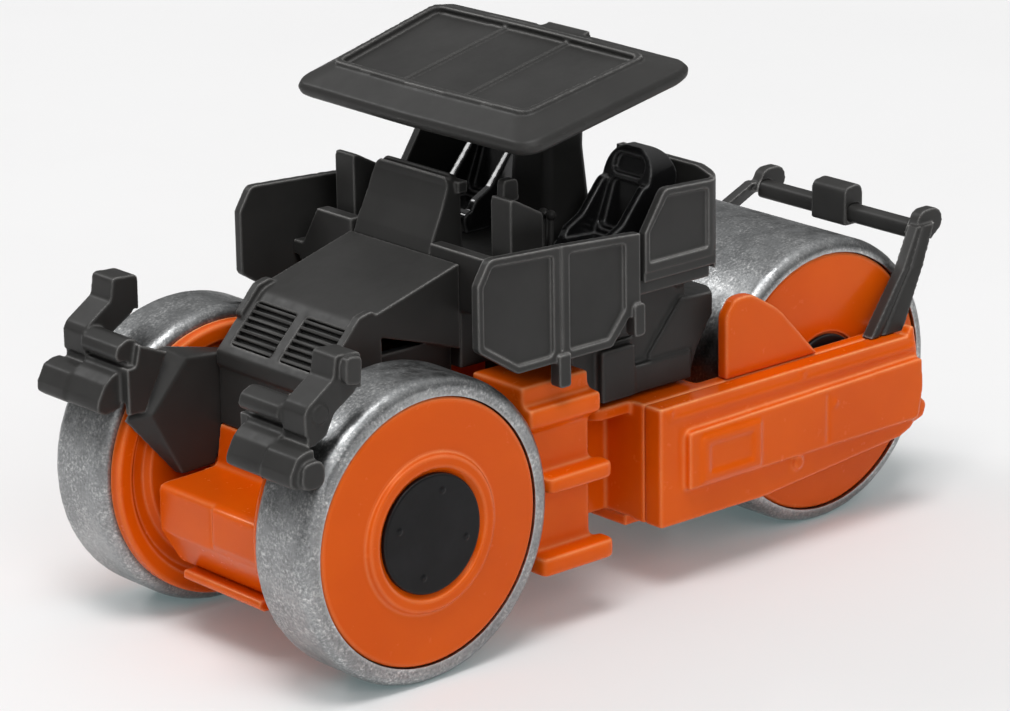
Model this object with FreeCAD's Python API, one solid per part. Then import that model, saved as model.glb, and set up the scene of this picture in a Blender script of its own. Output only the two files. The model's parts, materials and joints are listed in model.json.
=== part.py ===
import FreeCAD, Part

import math
import os

# Pocket-size toy road roller: two narrow drums in front, one wide drum behind, and an
# articulated frame. Millimetres, +X forward, +Y to the roller's left, +Z up, ground at z = 0.
# Lengths along X are written from the point midway between the two axles. The saved model is
# moved along X by MODEL_SHIFT, so that its origin is near the middle of its overall length.

V = FreeCAD.Vector

# ---------------------------------------------------------------- driving dimensions
DRUM_R = 12.0
AXLE_Z = DRUM_R
FRONT_X = 23.5
REAR_X = -23.5
LAMP_TIP_X = 36.6
HANDLE_TIP_X = -37.9
MODEL_SHIFT = 0.8

AXLE_R = 0.95
PRESS_GAP = 0.01
RUNNING_GAP = 0.05
SEAM = 0.02

FRONT_DRUM_IN = 9.3
FRONT_DRUM_OUT = 15.65
FRONT_RING_BORE = 10.5
REAR_DRUM_OUT = 10.4
REAR_RING_BORE = 10.9
RING_ROUND = 0.95
CAP_R = 4.7
REAR_CAP_R = 4.0
PIP_TURN = 17

PIVOT_X = 2.5
PIN_R = 1.2
LUG_R = 3.3
TONGUE_R = 3.0

HOUSING_HALF = 6.6
SPINE_HALF = 7.2
SPINE_REAR_X = 6.2
FRAME_BASE_Z = 5.6

TANK_IN = 10.75
TANK_SEAM = 12.0
TANK_OUT = 14.0
TANK_TOP_Z = 15.4

PANEL_OUT = 14.7
PANEL_IN = 13.9
DECK_Z = 25.2
DECK_TOP = 26.4

HUMP_LEFT = 2.95
HUMP_RIGHT = -6.5

ROOF_TILT = 12.6

GUARD_FRONT_X = -10.5
GUARD_IN = 11.1
GUARD_SWEEP = math.hypot(PIVOT_X - GUARD_FRONT_X, GUARD_IN)

POST_IN = 12.15
POST_OUT = 14.9


# ---------------------------------------------------------------- helpers
def box(x0, x1, y0, y1, z0, z1):
    return Part.makeBox(x1 - x0, y1 - y0, z1 - z0, V(x0, y0, z0))


def rounded_loop(points):
    """Closed loop of (u, v) or (u, v, radius) corners as edges in the plane z = 0."""
    count = len(points)
    starts, ends, middles = [], [], []
    for i, corner in enumerate(points):
        here = V(corner[0], corner[1], 0)
        before = V(*points[i - 1][:2], 0) - here
        after = V(*points[(i + 1) % count][:2], 0) - here
        before.normalize()
        after.normalize()
        radius = corner[2] if len(corner) > 2 else 0
        if not radius:
            starts.append(here)
            ends.append(here)
            middles.append(None)
            continue
        half = before.getAngle(after) / 2
        reach = radius / math.tan(half)
        bisector = before + after
        bisector.normalize()
        starts.append(here + before * reach)
        ends.append(here + after * reach)
        middles.append(here + bisector * (radius / math.sin(half) - radius))
    edges = []
    for i in range(count):
        if middles[i]:
            edges.append(Part.Arc(starts[i], middles[i], ends[i]).toShape())
        following = starts[(i + 1) % count]
        if (following - ends[i]).Length > 1e-6:
            edges.append(Part.makeLine(ends[i], following))
    return Part.Face(Part.Wire(edges))


def slab_xz(points, y0, y1):
    """Outline of (x, z) corners, extruded from y0 to y1."""
    face = rounded_loop(points)
    face.rotate(V(0, 0, 0), V(1, 0, 0), 90)
    face.translate(V(0, y0, 0))
    return face.extrude(V(0, y1 - y0, 0))


def slab_yz(points, x0, x1):
    """Outline of (y, z) corners, extruded from x0 to x1."""
    face = rounded_loop(points)
    face.rotate(V(0, 0, 0), V(1, 1, 1), 120)
    face.translate(V(x0, 0, 0))
    return face.extrude(V(x1 - x0, 0, 0))


def slab_xy(points, z0, z1):
    """Outline of (x, y) corners, extruded from z0 to z1."""
    face = rounded_loop(points)
    face.translate(V(0, 0, z0))
    return face.extrude(V(0, 0, z1 - z0))


def turned(profile, x):
    """Outline of (y, r) corners, turned about the axle line at x."""
    face = rounded_loop(profile)
    face.rotate(V(0, 0, 0), V(0, 0, 1), 90)
    face.rotate(V(0, 0, 0), V(0, 1, 0), 90)
    face.translate(V(x, 0, AXLE_Z))
    return face.revolve(V(x, 0, AXLE_Z), V(0, 1, 0), 360)


def rod_y(radius, x, z, y0, y1):
    return Part.makeCylinder(radius, y1 - y0, V(x, y0, z), V(0, 1, 0))


def rod_z(radius, x, y, z0, z1):
    return Part.makeCylinder(radius, z1 - z0, V(x, y, z0))


def mirrored(shape):
    return shape.mirror(V(0, 0, 0), V(0, 1, 0))


def both_sides(shape):
    return [shape, mirrored(shape)]


def union(shapes):
    whole = shapes[0].fuse(shapes[1:])
    return whole.removeSplitter()


def save(name, shape):
    moved = shape.copy()
    moved.translate(V(MODEL_SHIFT, 0, 0))
    solids = moved.Solids
    if not solids or not all(solid.isValid() for solid in solids):
        raise RuntimeError(name + " is not made of valid solids")
    body = solids[0] if len(solids) == 1 else Part.makeCompound(solids)
    body.exportStep("parts/" + name + ".step")


def save_pair(name, left):
    save(name + "_left", left)
    save(name + "_right", mirrored(left))


# ---------------------------------------------------------------- drums
def ring(y0, y1, bore, x):
    """Metal drum shell with rounded rims."""
    profile = [
        (y0, bore),
        (y0, DRUM_R, RING_ROUND),
        (y1, DRUM_R, RING_ROUND),
        (y1, bore),
    ]
    return turned(profile, x)


def front_core():
    """Plastic spool of a front drum: outer face with a rolled lip, hub tube, inner flange."""
    bore = AXLE_R + PRESS_GAP
    face = FRONT_DRUM_OUT + 0.05
    seat = face - 0.35
    profile = [
        (FRONT_DRUM_IN - 1.0, bore),
        (FRONT_DRUM_IN - 1.0, 7.9, 0.2),
        (FRONT_DRUM_IN - 0.5, 8.4),
        (FRONT_DRUM_IN - 0.5, 9.3),
        (FRONT_DRUM_IN - 1.05, 9.8, 0.2),
        (FRONT_DRUM_IN - 1.05, 11.1, 0.4),
        (FRONT_DRUM_IN - SEAM, 11.1),
        (FRONT_DRUM_IN - SEAM, 9.4),
        (FRONT_DRUM_IN + 0.6, 9.4),
        (FRONT_DRUM_IN + 0.6, 2.6),
        (face - 1.3, 2.6),
        (face - 1.3, FRONT_RING_BORE - SEAM),
        (face, FRONT_RING_BORE - SEAM, 0.25),
        (face, 6.3),
        (face + 0.22, 5.9, 0.3),
        (face + 0.22, 5.2, 0.2),
        (face, CAP_R + 0.15),
        (seat, CAP_R + 0.15),
        (seat, bore),
    ]
    return turned(profile, FRONT_X)


def cap(radius, seat, top, x):
    """Hub cap with a rounded rim and four small pips."""
    disc = turned([(seat, 0), (seat, radius), (top, radius, 0.2), (top, 0)], x)
    pips = []
    for turn in range(4):
        angle = math.radians(PIP_TURN + 90 * turn)
        px = x + 0.72 * radius * math.cos(angle)
        pz = AXLE_Z + 0.72 * radius * math.sin(angle)
        pips.append(rod_y(0.2, px, pz, top - 0.1, top + 0.08))
    return union([disc] + pips)


def make_front_drums():
    core = front_core()
    hub_cap = cap(CAP_R, FRONT_DRUM_OUT - 0.3 + SEAM, FRONT_DRUM_OUT + 0.35, FRONT_X)
    axle_half = FRONT_DRUM_OUT - 0.32
    save_pair("front_drum_ring", ring(FRONT_DRUM_IN, FRONT_DRUM_OUT, FRONT_RING_BORE, FRONT_X))
    save_pair("front_drum_core", core)
    save_pair("front_hub_cap", hub_cap)
    save("front_axle", rod_y(AXLE_R, FRONT_X, AXLE_Z, -axle_half, axle_half))


def rear_disc():
    """Plastic end disc of the rear drum, with the hub tube that carries it on the axle."""
    bore = AXLE_R + PRESS_GAP
    face = REAR_DRUM_OUT - 0.1
    seat = face - 0.3
    profile = [
        (0.05, bore),
        (0.05, 2.6),
        (face - 1.3, 2.6),
        (face - 1.3, REAR_RING_BORE - SEAM),
        (face, REAR_RING_BORE - SEAM, 0.25),
        (face, REAR_CAP_R + 0.15),
        (seat, REAR_CAP_R + 0.15),
        (seat, bore),
    ]
    return turned(profile, REAR_X)


def rear_cap():
    """Hub cap of the rear drum, with a hole for the axle that passes on into the frame."""
    seat = REAR_DRUM_OUT - 0.4 + SEAM
    top = REAR_DRUM_OUT + 0.05
    disc = cap(REAR_CAP_R, seat, top, REAR_X)
    return disc.cut(rod_y(AXLE_R + PRESS_GAP, REAR_X, AXLE_Z, seat - 1, top + 1))


def make_rear_drum():
    axle_half = TANK_SEAM - 0.1
    save("rear_drum_ring", ring(-REAR_DRUM_OUT, REAR_DRUM_OUT, REAR_RING_BORE, REAR_X))
    save_pair("rear_drum_disc", rear_disc())
    save_pair("rear_hub_cap", rear_cap())
    save("rear_axle", rod_y(AXLE_R, REAR_X, AXLE_Z, -axle_half, axle_half))


# ---------------------------------------------------------------- front frame
def make_front_frame():
    """Axle housing between the front drums, spine behind it, and the two pivot lugs."""
    housing = slab_xz(
        [
            (SPINE_REAR_X, FRAME_BASE_Z),
            (30.2, FRAME_BASE_Z),
            (32.0, 8.6, 0.4),
            (32.0, 12.3, 0.5),
            (26.4, 12.5, 0.5),
            (25.9, 15.8),
            (SPINE_REAR_X, 15.8),
        ],
        -HOUSING_HALF,
        HOUSING_HALF,
    )
    facet = slab_xz([(31.4, 8.7), (32.2, 9.0, 0.2), (32.2, 12.2, 0.4), (31.4, 12.2)], 0.2, 6.3)
    boss = rod_y(2.6, FRONT_X, AXLE_Z, -7.9, 7.9)
    spine = box(SPINE_REAR_X, 11.0, -SPINE_HALF, SPINE_HALF, FRAME_BASE_Z, 15.8)
    pedestal = box(8.0, 20.0, -4.4, 4.4, 15.8, 20.0)
    lugs = []
    for z0, z1 in ((4.8, 6.8), (12.4, 14.2)):
        lugs.append(rod_z(LUG_R, PIVOT_X, 0, z0, z1))
        lugs.append(box(PIVOT_X, SPINE_REAR_X + 1, -LUG_R, LUG_R, z0, z1))
    lugs.append(box(SPINE_REAR_X, 9.0, -LUG_R, LUG_R, 4.8, FRAME_BASE_Z))
    frame = union([housing, facet, boss, spine, pedestal] + lugs)
    frame = frame.cut(rod_y(AXLE_R + RUNNING_GAP, FRONT_X, AXLE_Z, -9, 9))
    frame = frame.cut(rod_z(PIN_R + PRESS_GAP, PIVOT_X, 0, 4, 15))
    groove = box(31.75, 33, -0.12, 0.2, 8.9, 13)
    frame = frame.cut(groove)
    for x in (10.5, 17.5):
        frame = frame.cut(rod_z(0.75, x, 0, 14.0, 20.5))
    save("front_frame", frame)


def make_front_base_plate():
    """Bottom plate of the front frame; its front edge is the lip under the housing."""
    plate = slab_xz(
        [(9.2, 4.6), (30.8, 4.6), (31.4, 5.0, 0.25), (31.2, 5.58, 0.2), (9.2, 5.58)],
        -4.8,
        4.8,
    )
    for x in (14.0, 28.0):
        plate = plate.cut(rod_z(1.0, x, 0, 4, 5.0))
    save("front_base_plate", plate)
    rivets = [rod_z(0.95, x, 0, 4.35, 5.0) for x in (14.0, 28.0)]
    save("front_base_rivets", Part.makeCompound(rivets))


def make_pivot_pin():
    head = rod_z(2.0, PIVOT_X, 0, 4.1, 4.78)
    shank = rod_z(PIN_R, PIVOT_X, 0, 4.5, 14.2)
    save("pivot_pin", union([head, shank]))


def tread(x0, x1, z0, z1):
    """Step tread that stands out from the step block, with rounded ends."""
    outline = [(x0, 12.7), (x0, PANEL_OUT, 0.9), (x1, PANEL_OUT, 0.6), (x1, 12.7)]
    return slab_xy(outline, z0, z1)


def make_steps():
    """Access steps on the side of the front frame, left one made and mirrored."""
    inner = box(SPINE_REAR_X, 11.0, SPINE_HALF, 11.8, 4.9, 19.0)
    skin = box(4.8, 11.0, 11.6, 12.8, 4.9, 19.0)
    low = tread(3.7, 11.3, 4.9, 6.4)
    middle = tread(3.8, 10.6, 11.5, 12.8)
    shoulder = slab_yz(
        [(7.2, 16.6), (12.8, 16.2), (14.1, 17.0), (14.1, 18.5, 0.25), (7.2, 18.5)], 4.7, 12.0
    )
    top = slab_xz([(5.1, 18.4), (12.0, 18.4), (12.0, 20.1), (5.1, 20.1)], 7.2, 13.1)
    block = union([inner, skin, low, middle, shoulder, top])
    save_pair("steps", block)


# ---------------------------------------------------------------- rear frame
def make_rear_frame():
    """Fork that carries the rear drum: neck with the pivot tongue, cross block, side plates."""
    tongue = union(
        [
            rod_z(TONGUE_R, PIVOT_X, 0, 6.9, 12.3),
            box(-2.0, PIVOT_X, -TONGUE_R, TONGUE_R, 6.9, 12.3),
        ]
    )
    cross = box(-8.5, -1.6, -TANK_IN, TANK_IN, FRAME_BASE_Z, 15.4)
    cover = slab_xy(
        [(-1.8, -10.6), (2.3, -10.6, 1.2), (2.3, 10.6, 1.2), (-1.8, 10.6)], 14.4, 15.4
    )
    cheeks = both_sides(box(-1.8, 1.4, 6.6, 7.6, FRAME_BASE_Z, 14.6))
    plates = both_sides(slab_xz(tank_outline(), TANK_IN, TANK_SEAM))
    frame = union([cross, cover, tongue] + cheeks + plates)
    frame = frame.cut(rod_z(PIN_R + RUNNING_GAP, PIVOT_X, 0, 6, 13))
    frame = frame.cut(rod_y(AXLE_R + RUNNING_GAP, REAR_X, AXLE_Z, -TANK_SEAM, TANK_SEAM))
    save("rear_frame", frame)


def tank_outline():
    return [
        (-1.6, 5.5),
        (-1.6, TANK_TOP_Z),
        (-29.3, TANK_TOP_Z),
        (-30.6, 14.6, 0.5),
        (-30.8, 12.5, 1.0),
        (-30.3, 7.4, 0.5),
        (-28.8, 6.8),
        (-12.8, 5.4),
    ]


def make_tanks():
    """Side tank outside each side plate: raised side box, framed hatch, pips and rear hook."""
    face = TANK_OUT + 0.75
    body = slab_xz(tank_outline(), TANK_SEAM, TANK_OUT)
    band = slab_xz([(-2.6, 14.2), (-2.6, 14.5), (-30.2, 14.5), (-30.2, 14.2)], 13.8, TANK_OUT + 0.12)
    raised = slab_xz(
        [(-4.1, 8.3), (-4.1, 13.1, 0.4), (-30.5, 13.5), (-30.7, 11.0), (-30.2, 8.3)], 13.8, face
    )
    hatch = box(-11.8, -5.3, face - 0.1, face + 0.25, 8.7, 12.5)
    recess = box(-11.0, -6.1, face + 0.05, face + 1, 9.4, 11.8)
    stud = rod_y(0.6, -16.6, 7.6, TANK_OUT - 0.2, TANK_OUT + 0.45)
    pips = []
    for x, z, y in ((-2.6, 14.85, TANK_OUT), (-17.2, 14.85, TANK_OUT), (-20.3, 11.9, face)):
        pips.append(rod_y(0.28, x, z, y - 0.2, y + 0.15))
    hook = slab_xz(
        [(-29.5, 9.9), (-31.2, 9.9), (-32.2, 9.0, 0.45), (-31.8, 7.9, 0.4), (-30.0, 7.4)],
        12.6,
        13.8,
    )
    peak = slab_xz([(-29.0, 14.8), (-29.6, 15.4), (-30.3, 16.5, 0.2), (-30.6, 14.8)], 12.85, 13.9)
    groove = box(-19.65, -19.3, face - 0.15, face + 1, 8.6, 12.9)
    tank = union([body, band, raised, hatch, stud, hook, peak] + pips)
    save_pair("side_tank", tank.cut(recess).cut(groove))


def make_fins():
    """Curved guard that stands on the tank in front of each end of the rear drum."""
    foot = TANK_TOP_Z + SEAM
    outline = [
        (GUARD_FRONT_X, foot),
        (GUARD_FRONT_X, 20.7, 1.4),
        (-11.6, 22.0, 1.0),
        (-13.4, 22.0, 1.6),
        (-16.4, 20.2, 7.0),
        (-20.9, foot),
    ]
    save_pair("drum_guard", slab_xz(outline, GUARD_IN, TANK_SEAM + 0.2))


def side_wire(points, y):
    corners = [V(x, y, z) for x, z in points + points[:1]]
    return Part.makePolygon(corners)


def rect_wire(x0, x1, y0, y1, z):
    corners = [V(x0, y0, z), V(x1, y0, z), V(x1, y1, z), V(x0, y1, z), V(x0, y0, z)]
    return Part.makePolygon(corners)


def strut(sections):
    """Chain of lofts through rectangles given as (x0, x1, y0, y1, z)."""
    wires = [rect_wire(*section) for section in sections]
    return union([Part.makeLoft([a, b], True, True) for a, b in zip(wires, wires[1:])])


def bar_outline(gap):
    """Rounded cross-section of the handle's crossbar, grown by a gap on every side."""
    front, rear = -34.75 + gap, -36.25 - gap
    low, high = 21.55 - gap, 23.05 + gap
    return [(front, low, 0.4), (front, high, 0.5), (rear, high, 0.5), (rear, low, 0.4)]


def make_rear_handle():
    """Handle behind the rear drum: two leaning posts, a crossbar and a centre block."""
    foot = (-30.2, -26.4, 11.6, 12.8, TANK_TOP_Z + SEAM)
    knee = (-33.6, -31.1, 10.7, 11.8, 20.2)
    neck = (-36.6, -34.4, 9.1, 10.2, 22.9)
    post = strut([foot, knee, neck])
    channel = strut(
        [
            (-27.9, -27.4, 12.6, 14.0, TANK_TOP_Z),
            (-32.2, -31.8, 11.6, 13.0, 20.2),
            (-35.3, -34.9, 10.0, 11.4, 22.9),
        ]
    )
    tip = slab_xz(
        [(-34.4, 22.2), (-35.4, 24.0, 1.0), (HANDLE_TIP_X, 24.1, 1.1), (HANDLE_TIP_X, 22.4, 0.8),
         (-36.6, 21.4)],
        8.7,
        9.8,
    )
    bar = slab_xz(bar_outline(0), -9.0, 9.0)
    save("handle_bar", bar)
    save_pair("handle_post", union([post.cut(channel), tip]).cut(bar))
    block = slab_xz(
        [(-34.3, 21.3, 0.2), (-34.4, 24.6, 0.7), (-36.5, 24.8, 0.7), (-36.5, 21.3, 0.2)], -2.1, 1.9
    )
    save("handle_block", block.cut(slab_xz(bar_outline(SEAM), -9.2, 9.2)))


def make_rear_base_plate():
    """Bottom plate of the rear frame's cross block, and its two rivets."""
    plate = box(-8.3, -1.8, -9.6, 9.6, 4.6, FRAME_BASE_Z - SEAM)
    for y in (-6.5, 6.5):
        plate = plate.cut(rod_z(1.0, -5.0, y, 4, 5.0))
    save("rear_base_plate", plate)
    rivets = [rod_z(0.95, -5.0, y, 4.35, 5.0) for y in (-6.5, 6.5)]
    save("rear_base_rivets", Part.makeCompound(rivets))


# ---------------------------------------------------------------- upper body
def make_hood():
    """Sloping engine hood: a shell with a raked front, and inner walls beside the pedestal."""
    shell = slab_xz(
        [(26.1, 21.8, 0.3), (26.1, 20.7, 0.2), (25.9, 20.5), (25.9, 15.82), (20.2, 15.82),
         (20.2, 24.4), (14.5, 22.6), (12.4, 21.8), (12.4, 28.7), (22.0, 26.0, 1.6)],
        -6.5,
        6.5,
    )
    hollow = slab_xz(
        [(11, 20.8), (11, 27.6), (21.4, 24.8), (23.6, 22.4), (23.6, 20.8)], -5.3, 5.3
    )
    knob = slab_xz(
        [(20.3, 25.9), (21.0, 26.75, 0.4), (22.3, 26.45, 0.5), (24.4, 24.2, 0.3), (23.4, 23.9),
         (21.4, 25.4)],
        5.7,
        6.5,
    )
    curtain = box(12.4, 25.0, 4.45, 5.4, 15.82, 22.6)
    hood = union([shell.cut(hollow)] + both_sides(knob) + both_sides(curtain))
    save("hood", hood.cut(grille_seat()))


def slope_frame(shape):
    """Place a flat shape made at the origin (face up) on the hood's raked front."""
    moved = shape.copy()
    moved.rotate(V(0, 0, 0), V(0, 1, 0), math.degrees(math.atan2(26.0 - 21.8, 26.1 - 22.0)))
    moved.translate(V(24.05, 0, 23.9))
    return moved


def grille_seat():
    """Two shallow pockets in the raked front that hold the grilles."""
    pocket = box(-1.9, 2.1, 0.55, 5.35, -0.8, 0.5)
    return slope_frame(Part.makeCompound(both_sides(pocket)))


def make_grilles():
    """Louvred grilles: a thin back with seven slats each."""
    back = box(-1.88, 2.08, 0.57, 5.33, -0.78, -0.45)
    slats = [back]
    for row in range(7):
        u = -1.75 + row * 0.58
        slats.append(box(u, u + 0.26, 0.57, 5.33, -0.5, 0.0))
    grille = union(slats)
    save_pair("grille", slope_frame(grille))


def make_dash():
    """Instrument hump behind the hood, in front of the right-hand seat."""
    hump = slab_xz(
        [(12.36, DECK_TOP + SEAM), (12.36, 28.6), (12.05, 29.6, 1.0), (11.1, 31.7, 3.0),
         (10.4, 33.6), (10.3, 34.4, 0.5), (9.1, 34.4, 0.4), (8.9, DECK_TOP + SEAM)],
        HUMP_RIGHT,
        HUMP_LEFT,
    )
    rounding = slab_yz(
        [(HUMP_RIGHT, 26.0), (HUMP_LEFT, 26.0), (HUMP_LEFT, 34.6, 1.4), (HUMP_RIGHT + 0.6, 34.6, 1.4)],
        5,
        18,
    )
    groove = box(9.75, 10.1, HUMP_RIGHT - 1, HUMP_LEFT + 1, 34.0, 35)
    bracket = box(8.7, 9.6, 1.9, HUMP_LEFT + 0.35, 33.0, 33.9)
    save("dash", union([hump.common(rounding).cut(groove), bracket]))


def wing(inner, outer):
    """Bulkhead from the hump out towards a side panel, flared at its foot."""
    lean = 2.4 if outer > 0 else -2.4
    return slab_yz(
        [(inner, 24.8), (outer + lean, 24.8), (outer + lean, 25.6), (outer, 29.55), (inner, 29.55)],
        11.2,
        12.4 - SEAM,
    )


def make_deck():
    """Operator's floor, the bulkheads beside the dash, and the block under the floor."""
    floor = box(-7.0, 12.4 - SEAM, -PANEL_IN, PANEL_IN, DECK_Z, DECK_TOP)
    wings = [wing(HUMP_LEFT + SEAM, 10.8), wing(HUMP_RIGHT - SEAM, -10.8)]
    block = box(4.0, 12.4 - SEAM, -6.5, 6.5, 20.2, DECK_Z + 0.1)
    keel = box(-2.6, 4.4, -9.6, 9.6, 20.3, DECK_Z + 0.1)
    save("deck", union([floor, block, keel] + wings))


def window_recess(corners, depth):
    return slab_xz(corners, PANEL_OUT - depth, PANEL_OUT + 1)


def make_side_panels():
    """Side panel of the operator's platform: two framed panes, ribs and two small feet."""
    outline = [
        (1.1, 30.5),
        (1.1, 24.0),
        (2.3, 24.0, 0.2),
        (4.1, 22.0, 0.5),
        (13.7, 22.0, 0.5),
        (17.6, 24.5, 0.6),
        (17.6, 29.6, 0.6),
        (16.4, 31.5, 0.8),
        (9.2, 31.1),
        (2.2, 30.6),
    ]
    panel = slab_xz(outline, PANEL_IN + SEAM, PANEL_OUT)
    front_pane = window_recess(
        [(10.1, 22.6, 0.5), (13.6, 22.6, 0.4), (17.0, 24.8, 0.4), (17.0, 29.4, 0.4),
         (16.1, 30.9, 0.5), (10.1, 30.5, 0.3)], 0.3
    )
    rear_pane = window_recess(
        [(4.4, 22.7, 0.4), (8.4, 22.7, 0.3), (8.4, 30.4, 0.3), (2.7, 30.0, 0.3), (2.7, 24.7, 0.3)],
        0.3,
    )
    feet = [
        slab_xz([(8.6, 20.0, 0.3), (9.8, 20.0, 0.3), (9.8, 22.6), (8.6, 22.6)], 13.9 + SEAM, 15.0),
        slab_xz([(0.9, 22.4, 0.3), (2.0, 22.4, 0.3), (2.0, 25.0, 0.3), (0.9, 25.0, 0.3)],
                13.9 + SEAM, 15.0),
    ]
    rib = box(8.8, 9.7, PANEL_IN + SEAM, PANEL_OUT, 22.2, 31.1)
    groove = box(9.15, 9.35, PANEL_OUT - 0.15, PANEL_OUT + 1, 22.8, 31.4)
    panel = union([panel.cut(front_pane).cut(rear_pane), rib] + feet).cut(groove)
    save_pair("side_panel", panel)


def make_seat_guards():
    """Guard round the outer and rear sides of each seat, with a raised border."""
    side = slab_xz(
        [(0.6, 27.2), (0.6, 30.3, 0.3), (-1.5, 33.5, 0.8), (-7.8, 33.2), (-7.8, 27.2)],
        PANEL_OUT - 0.8,
        PANEL_OUT,
    )
    back = slab_yz(
        [(3.2, 26.0), (PANEL_OUT, 26.0), (PANEL_OUT, 33.2), (12.4, 33.9, 1.0), (3.2, 33.9)],
        -7.8,
        -7.02,
    )
    plan = slab_xy(
        [(-7.8, 3.2), (-7.8, PANEL_OUT, 1.6), (0.6, PANEL_OUT), (0.6, 3.2)], 20, 40
    )
    guard = union([side, back]).common(plan)
    recess = slab_xz(
        [(0.1, 27.9, 0.2), (0.1, 30.3, 0.2), (-1.8, 32.9, 0.4), (-6.1, 32.7, 0.3), (-6.1, 27.9, 0.2)],
        PANEL_OUT - 0.25,
        PANEL_OUT + 1,
    )
    tie = box(-7.02, 0.6, PANEL_IN + SEAM, PANEL_OUT - 0.1, DECK_TOP, 27.4)
    save_pair("seat_guard", union([guard.cut(recess), tie]))


def make_rear_cover():
    """Cover under the seats, in front of the rear drum, with a ledge over the drum."""
    body = slab_xz(
        [(3.9, 15.75), (-2.6, 15.75), (-8.3, 15.75), (-8.3, 25.18), (-2.62, 25.18), (-2.62, 20.28),
         (3.9, 20.28)],
        -9.8,
        9.8,
    )
    skirt = box(-8.3, -2.0, -10.5, 10.5, 15.75, 18.1)
    shelf = slab_xz(
        [(-8.0, 21.2), (-12.0, 21.5), (-12.1, 22.3, 0.3), (-7.5, 22.5, 0.4), (-4.0, 18.6),
         (-4.0, 18.0), (-8.0, 18.0)],
        -10.2,
        10.2,
    )
    arch = slab_xz(
        [(-8.2, 16.0), (-8.4, 16.0), (-9.2, 18.0), (-10.5, 20.0), (-11.8, 21.5), (-8.2, 21.5)],
        -10.2,
        10.2,
    )
    shelf = union([shelf, arch]).common(rod_z(GUARD_SWEEP - 0.3, PIVOT_X, 0, 15, 25))
    tab = box(-2.1, 1.4, -10.6, 10.6, 15.75, 20.0)
    bolt = rod_y(0.6, -7.5, 24.0, -10.1, 10.1)
    save("rear_cover", union([body, skirt, shelf, tab, bolt]))


def make_consoles():
    """Upright control box at each front corner of the platform."""
    case = slab_xz(
        [(10.6, DECK_TOP), (10.6, 34.3, 0.3), (7.3, 32.5, 0.3), (7.3, DECK_TOP)], 8.2, 10.5
    )
    save_pair("console", case)


def make_seats():
    """Bucket seat: cushion, arched leaning back with sunk pads, and side bolsters."""
    cushion = slab_xz(
        [(-5.0, DECK_TOP + SEAM), (1.6, DECK_TOP + SEAM), (2.1, 28.3, 0.9), (-2.6, 28.0),
         (-5.0, 28.0)],
        5.2,
        10.4,
    )
    side_view = slab_xz(
        [(-2.1, 27.0), (-2.2, 28.6), (-3.6, 32.0, 4.0), (-4.5, 35.1, 0.7), (-6.2, 35.1, 1.5),
         (-6.85, 33.0, 1.5), (-6.3, 30.0), (-6.0, 27.0)],
        5.1,
        10.5,
    )
    front_view = slab_yz(
        [(5.1, 26.9), (5.1, 35.12, 2.4), (10.5, 35.12, 2.4), (10.5, 26.9)], -8, 0
    )
    back = side_view.common(front_view)
    for low, high in ((28.6, 32.4), (32.8, 34.3)):
        pad = slab_yz([(6.1, low, 0.5), (6.1, high, 0.6), (9.5, high, 0.6), (9.5, low, 0.5)], -9, 0)
        sunk = slab_xz(
            [(-2.7, 28.0), (-4.1, 32.0), (-5.0, 35.0), (0, 35.0), (0, 28.0)], 5.0, 10.6
        )
        back = back.cut(pad.common(sunk))
    bolster = slab_xz(
        [(1.2, 28.0), (0.6, 29.0, 0.5), (-1.0, 29.8, 0.6), (-3.2, 32.4, 0.8), (-4.6, 32.6),
         (-4.6, 27.0), (1.2, 27.0)],
        9.7,
        10.5,
    )
    other = bolster.copy()
    other.translate(V(0, -4.6, 0))
    save_pair("seat", union([cushion, back, bolster, other]))


def make_steering():
    """Steering column and wheel in front of the right-hand seat."""
    lean = V(-0.45, 0, 1)
    lean.normalize()
    foot = V(5.2, -7.8, DECK_TOP)
    column = Part.makeCylinder(0.5, 4.0, foot, lean)
    column = column.common(box(0, 10, -12, 0, DECK_TOP, 40))
    save("steering_column", column)
    hub_at = foot + lean * (4.0 + SEAM)
    hub = Part.makeCylinder(0.55, 0.5, hub_at, lean)
    rim = Part.makeTorus(1.75, 0.28, hub_at + lean * 0.35, lean)
    spokes = []
    for turn in range(3):
        arm = Part.makeBox(1.75, 0.36, 0.3, V(0, -0.18, 0.2))
        arm.rotate(V(0, 0, 0), V(0, 0, 1), 120 * turn)
        arm.rotate(V(0, 0, 0), V(0, 1, 0), -math.degrees(math.atan2(0.45, 1)))
        arm.translate(hub_at)
        spokes.append(arm)
    save("steering_wheel", union([hub, rim] + spokes))


def make_levers():
    """Control levers: two on the floor between the seats, one beside the left control box."""
    levers = []
    for y in (3.4, 4.3):
        stem = rod_z(0.22, 1.0, y, DECK_TOP, 29.6)
        grip = Part.makeSphere(0.42, V(1.0, y, 29.8))
        levers.append(union([stem, grip]))
    stem = rod_z(0.35, 7.9, 7.1, DECK_TOP, 33.4)
    paddle = slab_xz([(7.1, 32.9, 0.2), (8.7, 32.9, 0.2), (8.6, 34.7, 0.4), (7.2, 34.6, 0.4)], 6.7, 7.5)
    levers.append(union([stem, paddle]))
    save("control_levers", Part.makeCompound(levers))


def roof_frame(shape):
    """Tilt a roof shape made level about its middle, and lift it onto the column."""
    moved = shape.copy()
    moved.rotate(V(0, 0, 0), V(0, 1, 0), ROOF_TILT)
    moved.translate(V(3.7, 0, 41.3))
    return moved


def roof_outline(inset, corner=1.7):
    """Plan of the roof, wider at the rear; the same distance in from each edge."""
    front, rear = 8.7 - inset, -8.5 + inset
    half_front, half_rear = 14.1 - inset, 15.0 - inset
    return [
        (front, -half_front, corner),
        (front + 0.25, 0, 120),
        (front, half_front, corner),
        (rear, half_rear, corner),
        (rear - 0.25, 0, 120),
        (rear, -half_rear, corner),
    ]


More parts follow.
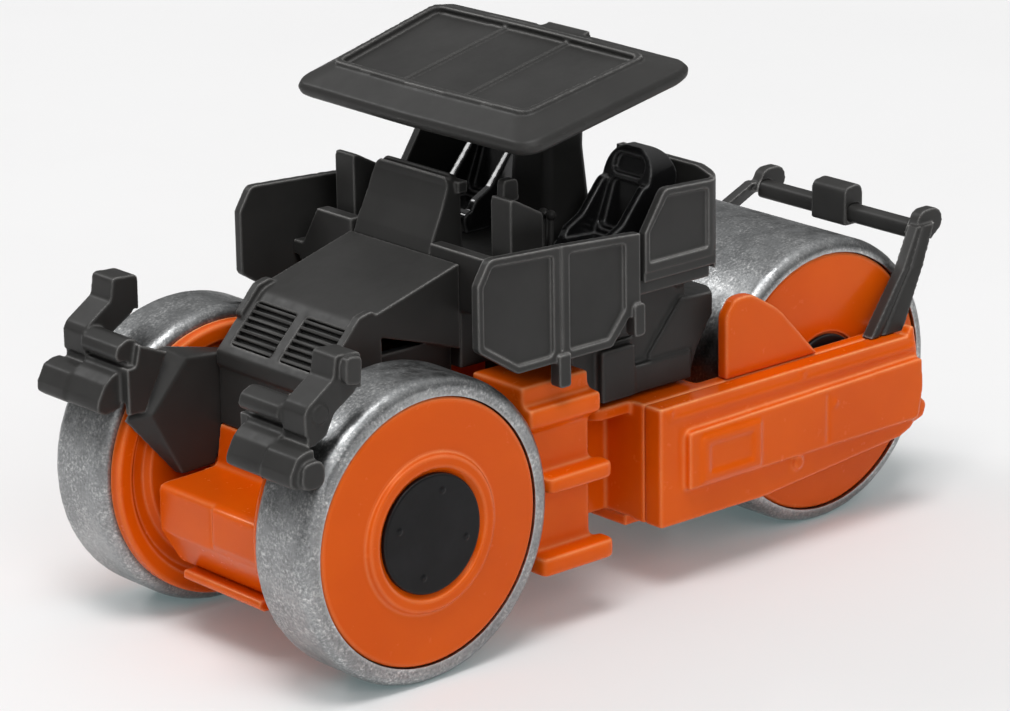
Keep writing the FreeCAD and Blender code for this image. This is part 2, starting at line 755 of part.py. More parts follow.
def roof_level(inset, z):
    wire = rounded_loop(roof_outline(inset)).OuterWire
    wire.translate(V(0, 0, z))
    return wire


def make_roof():
    """Canopy roof: bulging edge, sloping border, raised rim, two lengthwise ribs, rear tab."""
    shape = ((1.4, -1.55), (0.5, -1.4), (0.1, -1.05), (0, -0.6), (0.25, -0.15), (2.6, 0.85))
    levels = [roof_level(inset, z) for inset, z in shape]
    layers = [Part.makeLoft([below, above], True, True) for below, above in zip(levels, levels[1:])]
    rim = slab_xy(roof_outline(2.55, 1.0), 0.6, 1.1)
    sunk = slab_xy(roof_outline(3.15, 0.6), 0.5, 2)
    ribs = []
    for y in (-3.6, 3.6):
        ribs.append(box(-5.6, 5.7, y - 0.22, y + 0.22, 0.3, 0.75))
    tab = box(-8.95, -6.6, -2.4, 2.4, -0.9, 0.0)
    notches = both_sides(box(-9.5, -8.2, 2.5, 3.2, -2, 0.5))
    roof = union(layers + [rim]).cut(sunk).cut(Part.makeCompound(notches))
    save("canopy_roof", roof_frame(union([roof, tab] + ribs)))


def column_level(x0, x1, half, z):
    corners = [(x0, -half, 0.9), (x1, -half, 0.9), (x1, half, 0.9), (x0, half, 0.9)]
    wire = rounded_loop(corners).OuterWire
    wire.translate(V(0, 0, z))
    return wire


def make_canopy_column():
    """Column behind the seats that carries the roof; it flares towards the floor."""
    levels = [
        column_level(-6.0, 1.0, 3.0, DECK_TOP + SEAM),
        column_level(-5.2, -0.2, 2.5, 29.0),
        column_level(-4.7, -0.5, 2.3, 34.0),
        column_level(-4.9, -0.3, 2.4, 41.0),
    ]
    lofts = [Part.makeLoft([a, b], True, True) for a, b in zip(levels, levels[1:])]
    under_roof = roof_frame(box(-20, 20, -20, 20, -1.57, 10))
    save("canopy_column", union(lofts).cut(under_roof))


# ---------------------------------------------------------------- lamp brackets
def make_lamp_brackets():
    """Arm from the hood's front corner, and the stepped post that carries mirror and lamps."""
    inner = side_wire(
        [(24.7, 21.4), (24.7, 15.9), (26.4, 12.56), (29.6, 12.46), (32.3, 17.9), (28.7, 21.7)], 6.62
    )
    outer = side_wire(
        [(24.7, 21.4), (24.7, 15.9), (26.4, 12.5), (29.3, 12.2), (33.9, 17.4), (30.5, 22.8)], 8.1
    )
    arm = Part.makeLoft([inner, outer], True, True)
    knee = slab_xz(
        [(32.7, 18.2), (34.2, 18.2), (34.2, 21.9), (33.4, 21.9), (33.0, 23.6), (30.4, 22.5),
         (31.5, 20.4)],
        6.9,
        7.5 - SEAM,
    )
    bridge = box(33.5, 34.2, 7.2, 14.3, 19.1, 21.9)
    post = slab_xz(post_outline(), POST_IN, POST_OUT)
    boss = rod_y(0.75, 33.1, 23.35, POST_OUT - 0.2, POST_OUT + 0.25)
    save_pair("lamp_bracket", union([arm, knee, bridge, post, boss]))


def post_outline():
    """Side view of the post: upright front, strap sloping up and back to the mirror."""
    return [
        (33.5, 21.0),
        (34.2, 21.0),
        (34.2, 21.88),
        (34.4, 21.9),
        (34.45, 23.5, 0.3),
        (34.1, 24.1, 0.2),
        (31.7, 25.7),
        (29.25, 24.55, 0.3),
        (31.6, 23.1, 0.3),
        (32.4, 21.6),
    ]


def make_mirrors():
    """Mirror head on top of each post; the left one has a narrower lobe on its outer side."""
    head = slab_xz(
        [(29.05, 24.4), (31.72, 25.72), (31.45, 27.45, 0.4), (29.0, 27.3, 0.5)], POST_IN, POST_OUT
    )
    head = head.cut(slab_xz(post_outline(), POST_IN - 1, POST_OUT + 1))
    neck = slab_xz([(29.8, 25.4), (31.1, 25.7), (31.0, 27.1, 0.3), (29.6, 27.0, 0.3)], 14.8, 15.3)
    lobe = slab_xz(
        [(29.9, 25.1, 0.4), (31.4, 25.4, 0.4), (31.25, 27.45, 0.5), (29.7, 27.35, 0.5)], 15.2, 15.95
    )
    post = slab_xz(post_outline(), POST_IN - 1, POST_OUT + SEAM)
    save("mirror_left", union([head, neck, lobe]).cut(post))
    save("mirror_right", mirrored(head))


def make_upper_lamps():
    """Upper lamp bar between the arm and the post, standing forward over a neck."""
    bar = slab_xz(
        [(32.6, 21.92), (33.7, 21.92), (33.8, 22.4), (34.6, 22.4, 0.2), (34.85, 22.9, 0.2),
         (34.6, 23.6, 0.3), (33.6, 24.1, 0.4), (32.6, 23.8, 0.4)],
        7.5,
        POST_IN - SEAM,
    )
    save_pair("upper_lamp", bar)


def make_headlamps():
    """Lower lamp pair: inner block, prouder outer block, and a rounded lens at the end."""
    inner = slab_xz(
        [(34.22, 18.6), (35.8, 18.3, 0.4), (LAMP_TIP_X - 0.1, 18.8, 0.3), (36.35, 19.5),
         (35.65, 20.75, 0.3), (34.95, 21.3, 0.3), (34.45, 21.5), (34.22, 21.85)],
        7.9,
        POST_IN + 0.1,
    )
    outer = slab_xz(
        [(34.22, 18.6), (35.9, 18.3, 0.4), (LAMP_TIP_X, 18.8, 0.3), (36.5, 19.6), (35.85, 20.8, 0.4),
         (35.1, 21.1, 0.3), (34.22, 21.2)],
        POST_IN,
        15.7,
    )
    front_view = slab_yz([(12, 18), (15.7, 18, 0.6), (15.7, 22.0, 0.6), (12, 22.0)], 34, 38)
    lens = slab_xz(
        [(33.7, 18.3, 0.7), (35.9, 18.3, 0.7), (35.7, 20.4, 0.8), (33.7, 20.4, 0.7)], 15.5, 16.2
    )
    bump = box(34.3, 35.5, 15.0, 15.6, 20.4, 20.9)
    lamp = union([inner, outer.common(front_view), lens, bump])
    save_pair("headlamps", lamp)


# ---------------------------------------------------------------- build
def main():
    os.makedirs("parts", exist_ok=True)
    make_front_drums()
    make_rear_drum()
    make_front_frame()
    make_front_base_plate()
    make_pivot_pin()
    make_steps()
    make_rear_frame()
    make_tanks()
    make_fins()
    make_rear_handle()
    make_rear_base_plate()
    make_hood()
    make_grilles()
    make_dash()
    make_deck()
    make_side_panels()
    make_seat_guards()
    make_rear_cover()
    make_consoles()
    make_seats()
    make_steering()
    make_levers()
    make_roof()
    make_canopy_column()
    make_lamp_brackets()
    make_mirrors()
    make_upper_lamps()
    make_headlamps()


main()
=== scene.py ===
import json
import math

import bmesh
import bpy
from mathutils import Matrix, Vector, noise


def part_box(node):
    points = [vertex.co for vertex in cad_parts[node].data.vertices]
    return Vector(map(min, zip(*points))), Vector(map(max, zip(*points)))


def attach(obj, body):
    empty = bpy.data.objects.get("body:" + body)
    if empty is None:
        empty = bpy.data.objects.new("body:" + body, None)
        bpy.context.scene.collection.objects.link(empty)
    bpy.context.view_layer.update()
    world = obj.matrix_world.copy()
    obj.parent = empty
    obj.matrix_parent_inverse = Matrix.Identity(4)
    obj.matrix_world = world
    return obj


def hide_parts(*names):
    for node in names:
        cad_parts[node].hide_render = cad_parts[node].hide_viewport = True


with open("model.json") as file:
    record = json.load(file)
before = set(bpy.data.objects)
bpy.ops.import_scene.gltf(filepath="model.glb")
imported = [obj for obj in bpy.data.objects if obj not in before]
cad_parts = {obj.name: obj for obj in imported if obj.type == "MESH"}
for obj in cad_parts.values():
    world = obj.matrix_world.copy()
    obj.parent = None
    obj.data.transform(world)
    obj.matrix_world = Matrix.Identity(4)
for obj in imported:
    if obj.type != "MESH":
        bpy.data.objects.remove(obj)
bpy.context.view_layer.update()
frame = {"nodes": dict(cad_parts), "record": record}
MM = 0.001
SIDES = {"left": 1, "right": -1}

# Moulded skins: share of faces kept, smoothing strength.
KEEP_SHARE = 0.3
SMOOTHING = 0.5

# Small fittings: edge rounding, and the bend from which an edge is rounded or a face is flat.
FITTING_ROUND = 0.06 * MM
FITTING_BEND = math.radians(28)
FLAT_BEND = math.radians(0.4)
SOFT_ANGLE = 180
TURNED_ANGLE = 50
FITTING_ANGLE = 40

# Turned pieces: facets round, points on each rounding.
SHELL_TURNS = 300
PIECE_TURNS = 220
ARC_STEPS = 6

# Cast drum shells: wall, rim rounding, spacing of points across the tread, depth of the dents.
FRONT_WALL = 1.5 * MM
REAR_WALL = 1.1 * MM
RIM_ROUND = 0.95 * MM
TREAD_STEP = 0.35 * MM
DENTED_SKIN = 1.2 * MM
TREAD_DENT = 0.02 * MM
RIM_DENT = 0.05 * MM

# Stage: floor half-width and drop, lights as (direction, distance, size, power in watts).
FLOOR_HALF = 1.5
FLOOR_DROP = 0.02 * MM
LIGHTS = {
    "key": ((0.35, 0.3, 1.3), 2.0, 0.8, 22.6),
    "fill": ((0.35, 0.9, 0.6), 2.0, 0.8, 6.4),
    "back": ((0.29, -0.72, 0.62), 2.0, 0.45, 8),
}
LIGHT_TARGET = Vector((0, 0, 15 * MM))
WORLD_STOPS = ((0.1, 0.1), (0.75, 1.0))
WORLD_STRENGTH = 0.55
BACKDROP_GREY = 0.88

# Camera: place as seen from the middle between the axles, and lens.
AXLE_MIDDLE = Vector((0.8 * MM, 0, 0))
CAMERA_AZIMUTH = math.radians(138.949)
CAMERA_ELEVATION = math.radians(17.741)
CAMERA_ROLL = math.radians(-0.860)
CAMERA_DISTANCE = 347.54 * MM
CAMERA_RIGHT = -1.929 * MM
CAMERA_UP = 16.239 * MM
SENSOR_WIDTH = 36
FOCAL_LENGTH = 152.44

RECORD = frame["record"]
BODY_OF = {
    node: body for body, nodes in RECORD["behaviour"]["bodies"].items() for node in nodes
}
SLOT_OF = {part["node"]: part["material_slot"] for part in RECORD["subparts"]}


# ---------------------------------------------------------------- materials
class Nodes:
    """A small helper that adds and links shader nodes of one material."""

    def __init__(self, name):
        self.material = bpy.data.materials.new(name)
        self.material.use_nodes = True
        self.tree = self.material.node_tree
        self.shader = self.tree.nodes["Principled BSDF"]
        self.coords = self.add("ShaderNodeTexCoord").outputs["Object"]

    def add(self, kind, **inputs):
        node = self.tree.nodes.new(kind)
        for name, value in inputs.items():
            self.set(node, name.replace("_", " "), value)
        return node

    def set(self, node, name, value):
        socket = node.inputs[name]
        if isinstance(value, bpy.types.NodeSocket):
            self.tree.links.new(value, socket)
        else:
            socket.default_value = value

    def shade(self, **inputs):
        for name, value in inputs.items():
            self.set(self.shader, name.replace("_", " "), value)

    def noise(self, scale, detail=4.0, rough=0.55, stretch=None):
        node = self.add("ShaderNodeTexNoise", Scale=scale, Detail=detail, Roughness=rough)
        vector = self.coords
        if stretch:
            mapping = self.add("ShaderNodeMapping", Vector=vector, Scale=stretch)
            vector = mapping.outputs["Vector"]
        self.set(node, "Vector", vector)
        return node.outputs["Fac"]

    def ramp(self, value, *stops):
        """Colour ramp of (place, grey or colour) stops."""
        node = self.add("ShaderNodeValToRGB", Fac=value)
        elements = node.color_ramp.elements
        while len(elements) < len(stops):
            elements.new(0.5)
        for element, (place, colour) in zip(elements, stops):
            element.position = place
            grey = isinstance(colour, (int, float))
            element.color = (colour,) * 3 + (1,) if grey else (*colour, 1)
        return node.outputs["Color"]

    def mix(self, factor, first, second):
        node = self.add("ShaderNodeMix")
        node.data_type = "RGBA"
        self.set_mix(node, 0, factor)
        self.set_mix(node, 6, first)
        self.set_mix(node, 7, second)
        return node.outputs[2]

    def set_mix(self, node, index, value):
        socket = node.inputs[index]
        if isinstance(value, bpy.types.NodeSocket):
            self.tree.links.new(value, socket)
        elif index == 0:
            socket.default_value = value
        else:
            socket.default_value = (*value, 1)

    def maths(self, operation, first, second):
        node = self.add("ShaderNodeMath")
        node.operation = operation
        for index, value in enumerate((first, second)):
            if isinstance(value, bpy.types.NodeSocket):
                self.tree.links.new(value, node.inputs[index])
            else:
                node.inputs[index].default_value = value
        return node.outputs[0]

    def edges(self, radius, low=0.01, high=0.12):
        """Painted highlight mask: near 1 on bent edges and corners, stronger on upward-facing
        surfaces and broken into patches by noise.
        """
        bevel = self.add("ShaderNodeBevel", Radius=radius * MM)
        bevel.samples = 4
        normal = self.add("ShaderNodeNewGeometry").outputs["Normal"]
        dot = self.add("ShaderNodeVectorMath")
        dot.operation = "DOT_PRODUCT"
        self.tree.links.new(bevel.outputs["Normal"], dot.inputs[0])
        self.tree.links.new(normal, dot.inputs[1])
        bend = self.maths("SUBTRACT", 1.0, dot.outputs["Value"])
        upward = self.add("ShaderNodeSeparateXYZ", Vector=normal).outputs["Z"]
        # Painted highlight: stronger on upward-facing surfaces, as if lit from above.
        lit_from_above = self.ramp(upward, (0.0, 0.45), (0.8, 1.0))
        patchy = self.ramp(self.noise(500, 4), (0.3, 0.7), (0.6, 1.0))
        highlight_amount = self.maths("MULTIPLY", lit_from_above, patchy)
        return self.maths("MULTIPLY", self.ramp(bend, (low, 0.0), (high, 1.0)), highlight_amount)

    def bump(self, *layers):
        """Chain of (height, strength, distance) bumps into the shader's normal."""
        normal = None
        for height, strength, distance in layers:
            node = self.add("ShaderNodeBump", Height=height, Strength=strength, Distance=distance)
            if normal:
                self.set(node, "Normal", normal)
            normal = node.outputs["Normal"]
        self.shade(Normal=normal)


def orange_plastic():
    m = Nodes("orange_plastic")
    cloud = m.ramp(m.noise(90, 3), (0.35, 0.0), (0.7, 1.0))
    colour = m.mix(cloud, (0.69, 0.087, 0.001), (0.77, 0.108, 0.0015))
    # Painted highlight: edges and corners lightened to pale peach, more on upward-facing ones.
    colour = m.mix(m.edges(0.4, 0.008, 0.08), colour, (1.0, 0.48, 0.22))
    grime = m.ramp(m.noise(700, 5, 0.7), (0.3, 0.18), (0.75, 0.3))
    m.shade(Base_Color=colour, Roughness=grime, Specular_IOR_Level=0.32)
    m.shade(Specular_Tint=(1.0, 0.62, 0.35, 1.0))
    m.shade(Subsurface_Weight=0.1, Subsurface_Radius=(1.0, 0.25, 0.04), Subsurface_Scale=0.8 * MM)
    m.bump((m.noise(260, 3), 0.15, 0.14 * MM), (m.noise(2600, 4), 0.06, 0.03 * MM))
    return m.material


def dark_plastic(name, highlight_amount):
    m = Nodes(name)
    cloud = m.ramp(m.noise(120, 4), (0.35, 0.0), (0.7, 1.0))
    colour = m.mix(cloud, (0.026, 0.0255, 0.0245), (0.037, 0.0363, 0.035))
    # Painted highlight: edges and corners lightened towards pale grey, by a share given per
    # material.
    rim = m.maths("MULTIPLY", m.edges(0.28, 0.012, 0.14), highlight_amount)
    colour = m.mix(rim, colour, (0.52, 0.51, 0.495))
    rub = m.ramp(m.noise(900, 6, 0.7), (0.3, 0.38), (0.75, 0.52))
    m.shade(Base_Color=colour, Roughness=rub, Specular_IOR_Level=0.22)
    m.bump((m.noise(300, 3), 0.15, 0.14 * MM), (m.noise(3400, 3), 0.1, 0.03 * MM))
    return m.material


def black_gloss_plastic():
    m = Nodes("black_gloss_plastic")
    # Painted highlight: edges and corners lightened towards near-white.
    colour = m.mix(
        m.maths("MULTIPLY", m.edges(0.3), 0.7), (0.012, 0.012, 0.0125), (0.8, 0.8, 0.8)
    )
    rub = m.ramp(m.noise(500, 5, 0.7), (0.3, 0.14), (0.8, 0.24))
    m.shade(Base_Color=colour, Roughness=rub, Specular_IOR_Level=0.6)
    m.bump((m.noise(350, 3), 0.3, 0.2 * MM))
    return m.material


def hub_black():
    m = Nodes("hub_black")
    cloud = m.ramp(m.noise(400, 5, 0.6), (0.35, 0.0), (0.7, 1.0))
    colour = m.mix(cloud, (0.004, 0.004, 0.0045), (0.008, 0.008, 0.009))
    # Painted highlight: edges and corners lightened to mid grey.
    colour = m.mix(m.maths("MULTIPLY", m.edges(0.15), 0.6), colour, (0.4, 0.4, 0.4))
    rub = m.ramp(m.noise(1200, 5, 0.7), (0.3, 0.32), (0.8, 0.48))
    m.shade(Base_Color=colour, Roughness=rub, Specular_IOR_Level=0.2)
    m.bump((m.noise(2600, 4), 0.2, 0.03 * MM))
    return m.material


def drum_metal():
    m = Nodes("drum_metal")
    blotch = m.ramp(m.noise(140, 6, 0.65), (0.3, 0.0), (0.7, 1.0))
    colour = m.mix(blotch, (0.22, 0.226, 0.23), (0.37, 0.377, 0.38))
    fleck = m.ramp(m.noise(4200, 5, 0.75), (0.5, 0.0), (0.72, 1.0))
    patch = m.ramp(m.noise(500, 4, 0.6), (0.38, 0.15), (0.62, 0.95))
    colour = m.mix(m.maths("MULTIPLY", fleck, patch), colour, (0.92, 0.92, 0.91))
    pit = m.ramp(m.noise(4200, 4, 0.7), (0.3, 1.0), (0.45, 0.0))
    colour = m.mix(m.maths("MULTIPLY", pit, 0.5), colour, (0.09, 0.09, 0.09))
    # Painted highlight: rim edges and corners lightened to near-white.
    colour = m.mix(m.maths("MULTIPLY", m.edges(0.4, 0.005, 0.08), 0.8), colour, (0.95, 0.95, 0.94))
    rough = m.ramp(m.noise(900, 5, 0.6), (0.3, 0.28), (0.7, 0.5))
    m.shade(Base_Color=colour, Metallic=1.0, Roughness=rough)
    m.bump((m.noise(900, 4, 0.6), 0.4, 0.08 * MM), (m.noise(5200, 4, 0.6), 0.6, 0.03 * MM))
    return m.material


def axle_steel():
    m = Nodes("axle_steel")
    lines = m.noise(300, 4, 0.6, (1, 30, 1))
    m.shade(Base_Color=m.ramp(lines, (0.3, 0.28), (0.7, 0.42)), Metallic=1.0)
    m.shade(Roughness=m.ramp(lines, (0.3, 0.25), (0.7, 0.4)))
    m.bump((lines, 0.2, 0.03 * MM))
    return m.material


def glowing_floor_paper():
    m = Nodes("glowing_floor_paper")
    paper = m.ramp(m.noise(30, 4), (0.3, (0.753, 0.722, 0.72)), (0.7, (0.763, 0.732, 0.73)))
    m.shade(Base_Color=paper, Roughness=0.85, Specular_IOR_Level=0.1)
    # Painted light: the paper glows faintly cyan, lifting its cast shadows and cancelling their
    # orange tint from the bounce; the pinkish paper tone keeps the lit floor neutral grey.
    m.shade(Emission_Color=(0.68, 0.97, 1.0, 1), Emission_Strength=0.11)
    m.bump((m.noise(500, 3), 0.05, 0.05 * MM))
    return m.material


MATERIALS = {
    "orange_plastic": orange_plastic(),
    "dark_plastic": dark_plastic("dark_plastic", 0.9),
    "black_gloss_plastic": black_gloss_plastic(),
    "hub_black": hub_black(),
    "drum_metal": drum_metal(),
    "axle_steel": axle_steel(),
}
# Grilles get only a faint painted edge highlight.
GRILLE_PLASTIC = dark_plastic("grille_plastic", 0.15)


# ---------------------------------------------------------------- mesh helpers
def place(name, mesh, nodes, smooth_angle=SOFT_ANGLE, material=None):
    """Object for a finished mesh: it rides with the CAD nodes' body and stands for them."""
    piece = bpy.data.objects.new(name, mesh)
    bpy.context.scene.collection.objects.link(piece)
    mesh.materials.clear()
    mesh.materials.append(material or MATERIALS[SLOT_OF[nodes[0]]])
    mesh.shade_smooth()
    if smooth_angle < SOFT_ANGLE:
        mesh.set_sharp_from_angle(angle=math.radians(smooth_angle))
    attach(piece, BODY_OF[nodes[0]])
    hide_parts(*nodes)


def joined(nodes):
    """CAD nodes as one bmesh with merged corners."""
    bm = bmesh.new()
    for node in nodes:
        bm.from_mesh(frame["nodes"][node].data)
    bmesh.ops.remove_doubles(bm, verts=bm.verts, dist=1e-7)
    return bm


def as_mesh(bm, name):
    mesh = bpy.data.meshes.new(name)
    bm.to_mesh(mesh)
    bm.free()
    return mesh


def modified(mesh, *steps):
    """The mesh after a chain of (modifier kind, settings) steps."""
    helper = bpy.data.objects.new("helper", mesh)
    bpy.context.scene.collection.objects.link(helper)
    for kind, settings in steps:
        modifier = helper.modifiers.new(kind, kind)
        for key, value in settings.items():
            setattr(modifier, key, value)
    depsgraph = bpy.context.evaluated_depsgraph_get()
    result = bpy.data.meshes.new_from_object(helper.evaluated_get(depsgraph))
    bpy.data.objects.remove(helper)
    return result


def moulded(name, nodes, grain, passes):
    """Injection-moulded look: the nodes' shapes flow into one skin with soft edges."""
    mesh = modified(
        as_mesh(joined(nodes), name),
        ("REMESH", {"mode": "VOXEL", "voxel_size": grain * MM, "use_smooth_shade": True}),
        ("SMOOTH", {"factor": SMOOTHING, "iterations": passes}),
        ("DECIMATE", {"ratio": KEEP_SHARE}),
    )
    place(name + "_moulded", mesh, nodes)


def soften(node):
    """Small fitting: its own shape with every edge rounded off."""
    bm = joined([node])
    bmesh.ops.dissolve_limit(
        bm, angle_limit=FLAT_BEND, verts=bm.verts, edges=bm.edges, delimit={"NORMAL"}
    )
    bevel = {
        "width": FITTING_ROUND,
        "segments": 2,
        "limit_method": "ANGLE",
        "angle_limit": FITTING_BEND,
    }
    mesh = modified(as_mesh(bm, node), ("BEVEL", bevel), ("WEIGHTED_NORMAL", {}))
    place(node + "_rounded", mesh, [node], FITTING_ANGLE, GRILLE_PLASTIC)


def rounded(corners):
    """Outline of (y, r, rounding) corners as points, with each rounding as a short arc."""
    points = []
    count = len(corners)
    for i, (y, r, rounding) in enumerate(corners):
        here = Vector((y, r))
        if not rounding:
            points.append(here)
            continue
        before = (Vector(corners[i - 1][:2]) - here).normalized()
        after = (Vector(corners[(i + 1) % count][:2]) - here).normalized()
        half = before.angle(after) / 2
        centre = here + (before + after).normalized() * rounding / math.sin(half)
        start = here + before * rounding / math.tan(half) - centre
        stop = here + after * rounding / math.tan(half) - centre
        for k in range(ARC_STEPS + 1):
            outward = start.lerp(stop, k / ARC_STEPS).normalized()
            points.append(centre + outward * rounding)
    return points


def lathe(profile, centre, turns):
    """Closed outline of (y, r) turned about the line along Y through centre."""
    bm = bmesh.new()
    loops = []
    for step in range(turns):
        angle = 2 * math.pi * step / turns
        x, z = math.sin(angle), math.cos(angle)
        loops.append(
            [bm.verts.new((centre.x + r * x, y, centre.z + r * z)) for y, r in profile]
        )
    count = len(profile)
    for step in range(turns):
        first, second = loops[step], loops[(step + 1) % turns]
        for k in range(count):
            n = (k + 1) % count
            bm.faces.new((first[k], first[n], second[n], second[k]))
    bmesh.ops.recalc_face_normals(bm, faces=bm.faces)
    return bm


# ---------------------------------------------------------------- drums
def drum_shell(node, wall, seed):
    """Cast metal shell: rounded rims, and a skin that is slightly uneven all over."""
    low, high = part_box(node)
    centre = (low + high) / 2
    radius = (high.z - low.z) / 2
    rim = rounded(
        [
            (low.y, radius - wall, 0),
            (low.y, radius, RIM_ROUND),
            (high.y, radius, RIM_ROUND),
            (high.y, radius - wall, 0),
        ]
    )
    across = high.y - low.y - 2 * RIM_ROUND
    steps = round(across / TREAD_STEP)
    tread = [(low.y + RIM_ROUND + across * k / steps, radius) for k in range(1, steps)]
    half = len(rim) // 2
    profile = [tuple(p) for p in rim[:half]] + tread + [tuple(p) for p in rim[half:]]
    bm = lathe(profile, centre, SHELL_TURNS)
    for vert in bm.verts:
        out = Vector((vert.co.x - centre.x, 0, vert.co.z - centre.z))
        if out.length < radius - DENTED_SKIN:
            continue
        at = vert.co * 1000 + Vector((seed, 0, 0))
        dent = noise.noise(at * 0.9) * 0.6 + noise.noise(at * 2.6) * 0.4
        on_rim = min(vert.co.y - low.y, high.y - vert.co.y) < RIM_ROUND
        depth = RIM_DENT if on_rim else TREAD_DENT
        vert.co -= out.normalized() * max(0, dent + 0.35) * depth
    place(node + "_cast", as_mesh(bm, node), [node], TURNED_ANGLE)


def turned_piece(node, side, corners):
    """Lathe-turned piece; corners are (y, r, rounding) in mm, y outwards from the middle."""
    low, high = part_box(node)
    profile = [(side * y * MM, r * MM) for y, r in rounded(corners)]
    bm = lathe(profile, (low + high) / 2, PIECE_TURNS)
    place(node + "_turned", as_mesh(bm, node), [node], TURNED_ANGLE)


def front_core(node, side):
    """Orange spool of a front drum, with the rolled lip round the hub cap."""
    turned_piece(
        node,
        side,
        [
            (8.3, 1.0, 0),
            (8.3, 7.9, 0.2),
            (8.8, 8.4, 0.15),
            (8.8, 9.3, 0.15),
            (8.25, 9.8, 0.2),
            (8.25, 11.05, 0.35),
            (9.26, 11.05, 0),
            (9.26, 9.42, 0),
            (9.9, 9.42, 0),
            (9.9, 2.6, 0),
            (14.4, 2.6, 0),
            (14.4, 10.42, 0),
            (15.66, 10.42, 0.35),
            (15.66, 6.3, 0.2),
            (16.06, 6.0, 0.28),
            (16.06, 5.2, 0.28),
            (15.6, 4.82, 0),
            (15.36, 1.0, 0),
        ],
    )


def rear_disc(node, side):
    """Orange end disc of the rear drum."""
    turned_piece(
        node,
        side,
        [
            (0.06, 1.0, 0),
            (0.06, 2.6, 0),
            (9.0, 2.6, 0),
            (9.0, 10.83, 0),
            (10.28, 10.83, 0.35),
            (10.28, 4.2, 0.1),
            (10.0, 4.12, 0),
            (10.0, 1.0, 0),
        ],
    )


drum_shell("front_drum_ring_left", FRONT_WALL, 0)
drum_shell("front_drum_ring_right", FRONT_WALL, 40)
drum_shell("rear_drum_ring", REAR_WALL, 80)
for side, sign in SIDES.items():
    front_core("front_drum_core_" + side, sign)
    rear_disc("rear_drum_disc_" + side, sign)
    moulded("front_hub_cap_" + side, ["front_hub_cap_" + side], 0.08, 3)
    moulded("rear_hub_cap_" + side, ["rear_hub_cap_" + side], 0.08, 3)


# ---------------------------------------------------------------- moulded body
# Each piece with its grain (voxel size in mm) and smoothing passes.
SINGLES = {
    "front_frame": (0.14, 12),
    "front_base_plate": (0.12, 4),
    "rear_frame": (0.15, 6),
    "rear_base_plate": (0.12, 4),
    "rear_cover": (0.13, 6),
    "hood": (0.11, 8),
    "dash": (0.1, 8),
    "deck": (0.14, 6),
    "canopy_column": (0.13, 8),
    "canopy_roof": (0.12, 5),
    "handle_bar": (0.1, 6),
    "handle_block": (0.1, 14),
    "pivot_pin": (0.1, 3),
    "steering_column": (0.06, 2),
    "steering_wheel": (0.06, 2),
    "control_levers": (0.06, 2),
}
PAIRS = {
    "steps": (0.12, 44),
    "side_tank": (0.11, 30),
    "drum_guard": (0.11, 14),
    "handle_post": (0.1, 10),
    "side_panel": (0.075, 4),
    "seat_guard": (0.075, 4),
    "console": (0.1, 10),
    "seat": (0.09, 12),
}
LAMP_CLUSTER = ("lamp_bracket", "mirror", "upper_lamp", "headlamps")
for node, (grain, passes) in SINGLES.items():
    moulded(node, [node], grain, passes)
for side in SIDES:
    for stem, (grain, passes) in PAIRS.items():
        node = stem + "_" + side
        moulded(node, [node], grain, passes)
    moulded("lamp_cluster_" + side, [stem + "_" + side for stem in LAMP_CLUSTER], 0.1, 18)
    soften("grille_" + side)
for node in ("front_axle", "rear_axle", "front_base_rivets", "rear_base_rivets"):
    mesh = frame["nodes"][node].data
    mesh.materials.clear()
    mesh.materials.append(MATERIALS["axle_steel"])


# ---------------------------------------------------------------- stage, light and camera
def make_floor():
    """Paper floor just under the drums, glowing faintly to lift and cool its shadows."""
    bm = bmesh.new()
    bmesh.ops.create_grid(bm, x_segments=2, y_segments=2, size=FLOOR_HALF)
    mesh = as_mesh(bm, "floor")
    floor = bpy.data.objects.new("floor", mesh)
    floor.location.z = -FLOOR_DROP
    bpy.context.scene.collection.objects.link(floor)
    mesh.materials.append(glowing_floor_paper())


def softbox(name, towards, distance, size, power):
    """Square area light in a direction from the object, aimed at its middle."""
    data = bpy.data.lights.new(name, "AREA")
    data.shape = "SQUARE"
    data.size = size
    data.energy = power
    lamp = bpy.data.objects.new(name, data)
    bpy.context.scene.collection.objects.link(lamp)
    lamp.location = LIGHT_TARGET + Vector(towards).normalized() * distance
    lamp.rotation_mode = "QUATERNION"
    lamp.rotation_quaternion = (LIGHT_TARGET - lamp.location).to_track_quat("-Z", "Y")


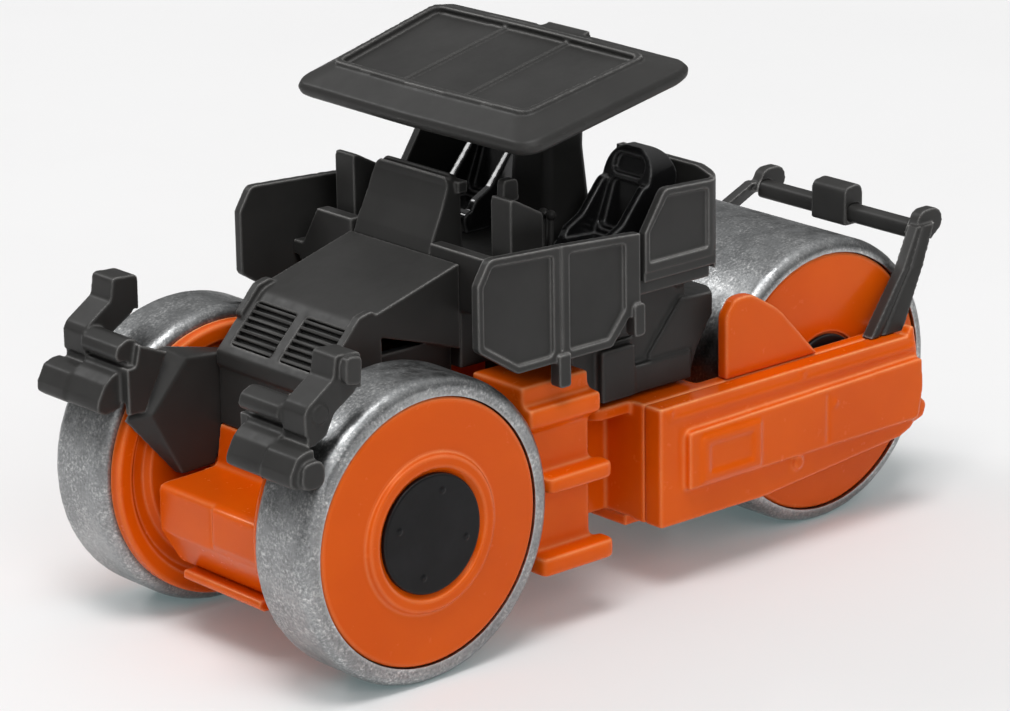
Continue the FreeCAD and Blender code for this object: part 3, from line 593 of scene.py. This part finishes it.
def make_world():
    """Studio surround: bright overhead, dimmer towards the horizon, behind a pale backdrop."""
    world = bpy.data.worlds.new("studio")
    world.use_nodes = True
    tree = world.node_tree
    background = tree.nodes["Background"]
    where = tree.nodes.new("ShaderNodeTexCoord")
    height = tree.nodes.new("ShaderNodeSeparateXYZ")
    shade = tree.nodes.new("ShaderNodeValToRGB")
    tree.links.new(where.outputs["Generated"], height.inputs[0])
    tree.links.new(height.outputs["Z"], shade.inputs[0])
    tree.links.new(shade.outputs[0], background.inputs["Color"])
    backdrop = tree.nodes.new("ShaderNodeBackground")
    backdrop.inputs["Color"].default_value = (BACKDROP_GREY,) * 3 + (1,)
    rays = tree.nodes.new("ShaderNodeLightPath")
    either = tree.nodes.new("ShaderNodeMixShader")
    tree.links.new(rays.outputs["Is Camera Ray"], either.inputs[0])
    tree.links.new(background.outputs[0], either.inputs[1])
    tree.links.new(backdrop.outputs[0], either.inputs[2])
    tree.links.new(either.outputs[0], tree.nodes["World Output"].inputs["Surface"])
    for element, (place_at, grey) in zip(shade.color_ramp.elements, WORLD_STOPS):
        element.position = place_at
        element.color = (grey, grey, grey, 1)
    background.inputs["Strength"].default_value = WORLD_STRENGTH
    bpy.context.scene.world = world


def make_camera():
    """Long lens at the product shot's angle: azimuth, elevation and a slight roll."""
    flat = math.cos(CAMERA_ELEVATION)
    back = Vector(
        (
            math.sin(CAMERA_AZIMUTH) * flat,
            -math.cos(CAMERA_AZIMUTH) * flat,
            math.sin(CAMERA_ELEVATION),
        )
    )
    right = Vector((0, 0, 1)).cross(back).normalized()
    up = back.cross(right)
    turn = Matrix.Rotation(CAMERA_ROLL, 3, back)
    right, up = turn @ right, turn @ up
    camera = bpy.data.objects.new("camera", bpy.data.cameras.new("camera"))
    bpy.context.scene.collection.objects.link(camera)
    camera.data.sensor_width = SENSOR_WIDTH
    camera.data.lens = FOCAL_LENGTH
    camera.data.clip_start = 0.01
    camera.location = (
        AXLE_MIDDLE + back * CAMERA_DISTANCE + right * CAMERA_RIGHT + up * CAMERA_UP
    )
    camera.rotation_mode = "QUATERNION"
    axes = Matrix((right, up, back)).transposed()
    camera.rotation_quaternion = axes.to_quaternion()
    bpy.context.scene.camera = camera


make_floor()
make_world()
for name, settings in LIGHTS.items():
    softbox(name, *settings)
make_camera()
bpy.context.scene.view_settings.view_transform = "Standard"
